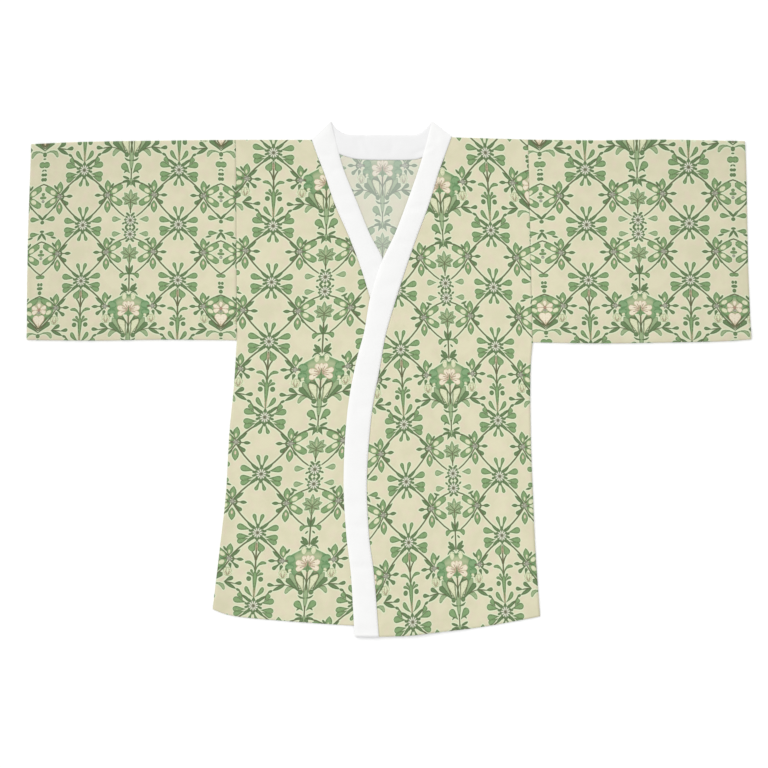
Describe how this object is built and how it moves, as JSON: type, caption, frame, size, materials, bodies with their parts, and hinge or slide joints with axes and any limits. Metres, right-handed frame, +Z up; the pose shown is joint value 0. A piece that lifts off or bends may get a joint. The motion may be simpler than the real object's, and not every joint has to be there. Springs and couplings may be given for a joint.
{
  "type": "kimono robe",
  "caption": "Knee-length printed cotton kimono robe with straight sleeves and a plain white neckband, laid flat and closed, left front over right.",
  "frame": {"origin": "on the floor, under the middle of the robe's outline", "axes": "+X to the wearer's left sleeve, +Y to the collar, +Z up from the floor"},
  "size_m": [1.448, 1.031, 0.0063],
  "materials": {
    "printed_cloth": "soft matt cotton, cream ground printed with a green trellis of stems, leaves and small cream flowers",
    "neckband_cloth": "matt white plain-weave cotton",
    "sewing_thread": "fine matt cotton sewing thread"
  },
  "bodies": {
    "root": {"back": "printed_cloth", "front_right": "printed_cloth", "front_left": "printed_cloth", "sleeve_right": "printed_cloth", "sleeve_left": "printed_cloth", "neckband": "neckband_cloth"}
  },
  "joints": []
}
